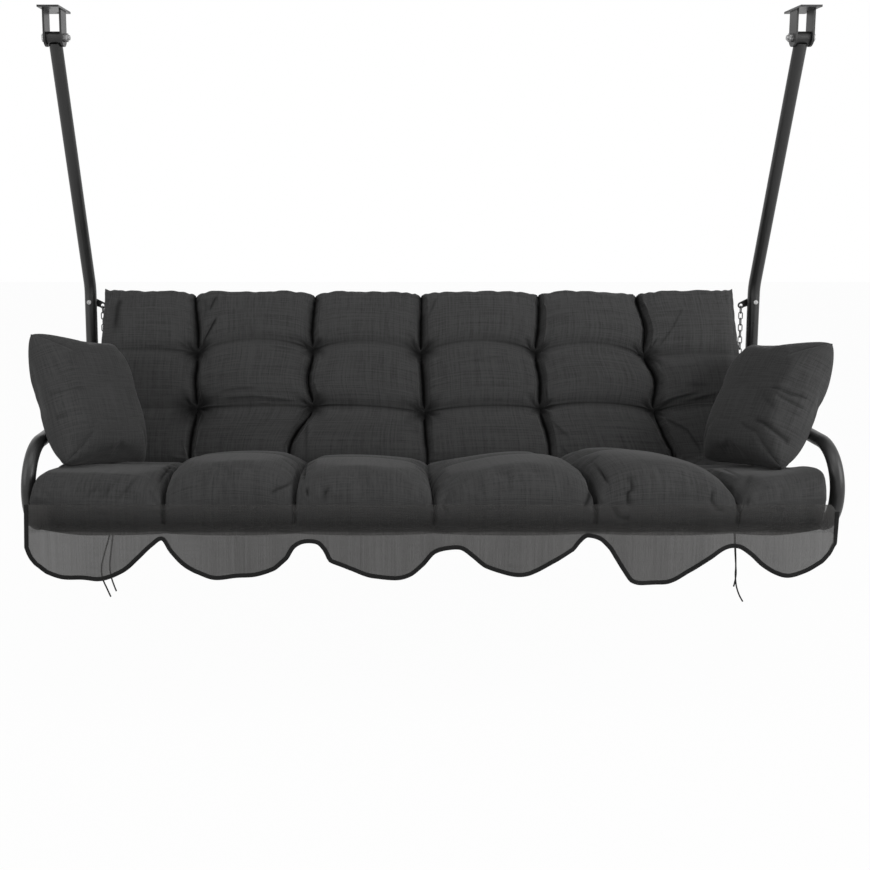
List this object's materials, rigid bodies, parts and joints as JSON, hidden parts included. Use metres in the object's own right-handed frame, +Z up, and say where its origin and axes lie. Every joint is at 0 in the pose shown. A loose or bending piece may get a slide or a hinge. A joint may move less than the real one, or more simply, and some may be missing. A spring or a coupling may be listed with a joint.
{
  "type": "hanging garden swing seat",
  "caption": "Wide hanging swing seat: bent hanger tubes, looped arms, wire deck, reclining back on chains, tufted cushions, scalloped valance and scatter pillows.",
  "frame": {"origin": "middle of the four beam bolts, on the top faces of the two beam brackets", "axes": "+X to the sitter's left, seen from the front to the right; +Y to the rear; +Z up"},
  "size_m": [1.8998, 0.7087, 1.5335],
  "materials": {
    "graphite_paint": "satin",
    "zinc_steel": "satin",
    "chain_steel": "satin",
    "black_plastic": "matte",
    "charcoal_linen": "matte",
    "valance_cloth": "matte",
    "black_tape": "matte",
    "tie_cord": "matte"
  },
  "bodies": {
    "stand_mount": {"beam_bracket_left": "graphite_paint", "beam_bracket_right": "graphite_paint", "pivot_bolts": "zinc_steel", "pivot_nuts": "zinc_steel"},
    "swing": {"hanger_left": "graphite_paint", "hanger_right": "graphite_paint", "pivot_bushes": "black_plastic", "side_frame_left": "graphite_paint", "side_frame_right": "graphite_paint", "joint_plates": "graphite_paint", "front_rail": "graphite_paint", "rear_rail": "graphite_paint", "deck_struts": "graphite_paint", "deck_grid": "graphite_paint", "frame_bolts": "zinc_steel", "frame_nuts": "zinc_steel", "rail_bolts": "zinc_steel", "tube_plugs": "black_plastic", "chain_plates": "graphite_paint", "chain_left": "chain_steel", "chain_right": "chain_steel", "hinge_brackets": "graphite_paint", "hinge_bolts": "zinc_steel", "hinge_nuts": "zinc_steel", "seat_cushion": "charcoal_linen", "valance": "valance_cloth", "valance_binding": "black_tape", "tie_loops": "tie_cord", "tie_left_front": "tie_cord", "tie_left_rear": "tie_cord", "tie_right_front": "tie_cord", "tie_right_rear": "tie_cord"},
    "backrest": {"back_frame": "graphite_paint", "back_struts": "graphite_paint", "back_grid": "graphite_paint", "back_plugs": "black_plastic", "chain_eyes": "zinc_steel", "eye_nuts": "zinc_steel", "back_cushion": "charcoal_linen", "back_straps": "black_tape"},
    "left_pillow": {"pillow_left": "charcoal_linen"},
    "right_pillow": {"pillow_right": "charcoal_linen"}
  },
  "joints": [
    {"name": "seat_swing", "type": "hinge", "parent": "stand_mount", "child": "swing", "pos_m": [0, 0, -0.07], "axis": [1, 0, 0], "range_deg": [-18, 18]},
    {"name": "back_recline", "type": "hinge", "parent": "swing", "child": "backrest", "pos_m": [0, 0.10523, -1.24779], "axis": [-1, 0, 0], "range_deg": [0, 15], "deforming": ["chain_left", "chain_right"]},
    {"name": "left_pillow_lift", "type": "slide", "parent": "swing", "child": "left_pillow", "axis": [0.3505, -0.4506, 0.8211], "range_m": [0, 0.3]},
    {"name": "right_pillow_lift", "type": "slide", "parent": "swing", "child": "right_pillow", "axis": [-0.3505, -0.4506, 0.8211], "range_m": [0, 0.3]}
  ]
}
